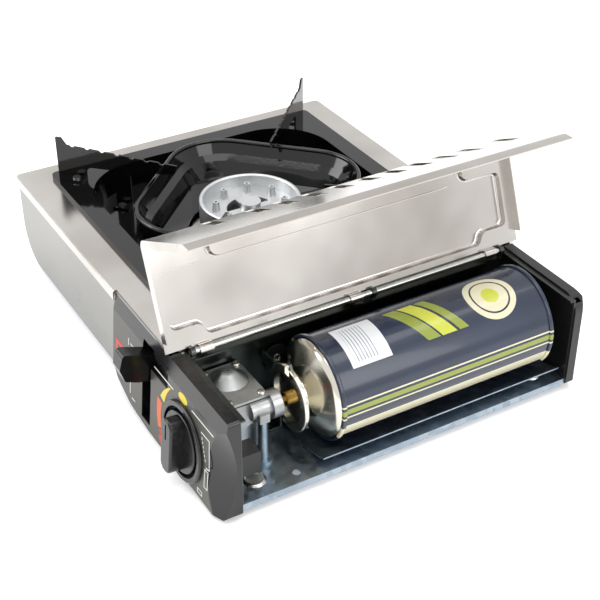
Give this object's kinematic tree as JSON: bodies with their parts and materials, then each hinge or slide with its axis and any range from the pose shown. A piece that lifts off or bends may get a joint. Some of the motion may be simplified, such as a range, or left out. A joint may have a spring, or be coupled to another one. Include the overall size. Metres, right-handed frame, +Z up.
{
  "type": "butane cassette stove",
  "caption": "Portable single-burner gas stove with a hinged lid over its gas can, a lift-off pot-support pan, a control knob and a can lever.",
  "frame": {"origin": "on the table, under the middle of the stove's box as it rests with its lid open", "axes": "+X along the long side towards the gas bay, +Y from the control panel to the back, +Z up"},
  "size_m": [0.337, 0.2849, 0.1694],
  "materials": {
    "galvanised": "spangled zinc coating, satin",
    "rubber": "matt black rubber",
    "case_steel": "pearl champagne coating, semi-gloss",
    "plated_steel": "bright zinc plate",
    "black_plastic": "black moulding, semi-gloss",
    "cast_aluminium": "die cast, satin",
    "brass": "turned brass",
    "lead_sleeve": "red sleeve",
    "ceramic_white": "glazed ceramic",
    "dark_steel": "black coated steel",
    "can_paint": "printed steel can, gloss",
    "enamel": "black vitreous enamel, gloss"
  },
  "bodies": {
    "stove": {"base_pan": "galvanised", "rubber_feet": "rubber", "body_shell": "case_steel", "top_plate": "case_steel", "partition_wall": "galvanised", "hinge_rail": "galvanised", "hinge_rod": "plated_steel", "front_panel": "black_plastic", "front_bulkhead": "black_plastic", "rear_bulkhead": "black_plastic", "rear_end_wall": "black_plastic", "cartridge_tray": "galvanised", "burner_head": "cast_aluminium", "burner_body": "cast_aluminium", "mixing_tube": "plated_steel", "burner_bracket": "plated_steel", "gas_nozzle": "brass", "gas_pipe": "brass", "regulator_body": "cast_aluminium", "regulator_cover": "plated_steel", "regulator_screws": "plated_steel", "diaphragm": "rubber", "regulator_spring": "plated_steel", "cartridge_socket": "brass", "socket_seal": "rubber", "support_post": "plated_steel", "piezo_igniter": "black_plastic", "igniter_lead": "lead_sleeve", "igniter_electrode": "ceramic_white", "lever_bush": "black_plastic", "slide_screw": "plated_steel"},
    "lid": {"lid": "case_steel"},
    "knob": {"control_knob": "black_plastic", "valve_spindle": "brass"},
    "lever": {"lock_lever": "plated_steel", "lever_knob": "black_plastic", "lever_shaft": "plated_steel", "cam_plate": "dark_steel", "lever_pivot_screw": "plated_steel"},
    "slide": {"collar_fork": "plated_steel"},
    "cartridge": {"cartridge_body": "can_paint", "cartridge_dome": "plated_steel", "cartridge_base": "plated_steel", "cartridge_collar": "plated_steel", "cartridge_valve": "brass"},
    "pan": {"pan_support": "enamel", "pot_arm_1": "enamel", "pot_arm_2": "enamel", "pot_arm_3": "enamel", "pot_arm_4": "enamel", "arm_rivets": "plated_steel"}
  },
  "joints": [
    {"name": "lid_hinge", "type": "hinge", "parent": "stove", "child": "lid", "pos_m": [0.0965, 0.0095, 0.0735], "axis": [0, 1, 0], "range_deg": [0, 111.7]},
    {"name": "knob_turn", "type": "hinge", "parent": "stove", "child": "knob", "pos_m": [0.119, -0.12472, 0.029], "axis": [0, -0.9958, 0.0911], "range_deg": [0, 130]},
    {"name": "lever_tilt", "type": "hinge", "parent": "stove", "child": "lever", "pos_m": [0.065, -0.0475, 0.047], "axis": [1, 0, 0], "range_deg": [0, 24]},
    {"name": "can_slide", "type": "slide", "parent": "stove", "child": "slide", "axis": [0, -1, 0], "range_m": [0, 0.0035]},
    {"name": "can_lift", "type": "slide", "parent": "slide", "child": "cartridge", "axis": [0.866, 0, 0.5], "range_m": [0, 0.1]},
    {"name": "pan_lift", "type": "slide", "parent": "stove", "child": "pan", "axis": [-0.1736, 0, 0.9848], "range_m": [0, 0.12]}
  ],
  "couplings": [
    {"joint": "can_slide", "follows": "lever_tilt", "m_per_rad": 0.0083556}
  ]
}
